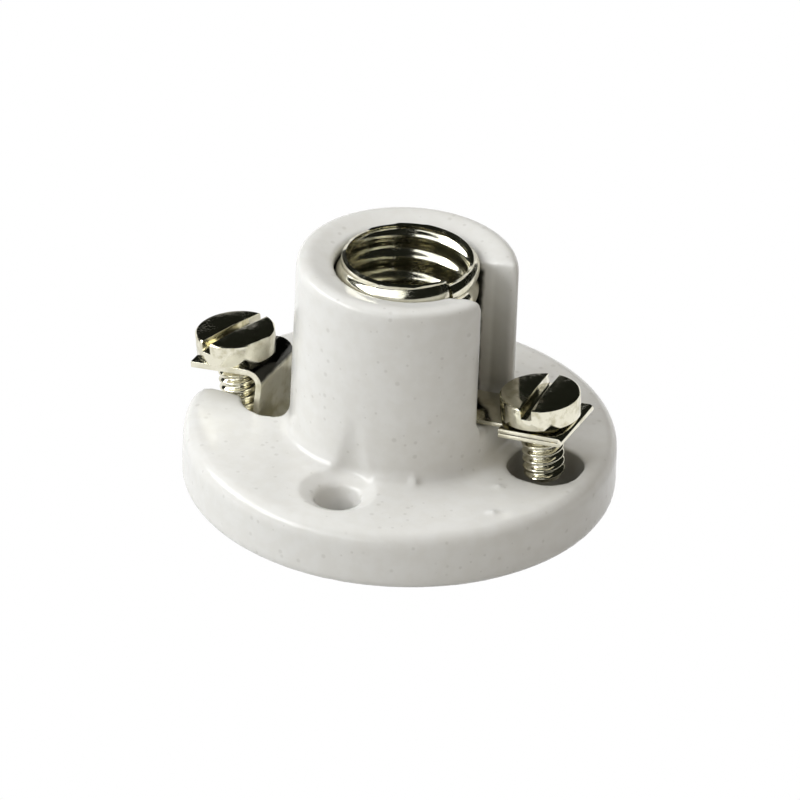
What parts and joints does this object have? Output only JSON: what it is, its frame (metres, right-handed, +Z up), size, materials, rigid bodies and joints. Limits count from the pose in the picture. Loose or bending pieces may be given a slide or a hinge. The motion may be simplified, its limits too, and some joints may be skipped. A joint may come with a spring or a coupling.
{
  "type": "porcelain lamp holder",
  "caption": "Miniature screw-socket lamp holder in glazed porcelain: round base, slotted column, rolled metal shell and two screw terminals.",
  "frame": {"origin": "centre of the mounting face, on the lamp axis", "axes": "+Z up along the lamp axis; +X towards the terminal of the threaded shell, -X towards the terminal of the centre contact; fixing holes on the Y axis"},
  "size_m": [0.0316, 0.031, 0.018],
  "materials": {
    "porcelain": "glossy white glaze",
    "plated_brass": "nickel plated, polished",
    "plated_steel": "zinc plated, bright"
  },
  "bodies": {
    "holder": {"porcelain_body": "porcelain", "threaded_shell": "plated_brass", "shell_rivet": "plated_brass", "centre_contact": "plated_brass", "centre_rivet": "plated_brass"},
    "shell_screw": {"shell_terminal_screw": "plated_steel"},
    "centre_screw": {"centre_terminal_screw": "plated_steel"}
  },
  "joints": [
    {"name": "shell_screw_turn", "type": "hinge", "parent": "holder", "child": "shell_screw", "pos_m": [0.01078, 0, 0.00834], "axis": [-0.1011, 0, 0.9949], "continuous": true},
    {"name": "centre_screw_turn", "type": "hinge", "parent": "holder", "child": "centre_screw", "pos_m": [-0.0131, 0, 0.00665], "axis": [-0.1271, 0, 0.9919], "continuous": true}
  ]
}
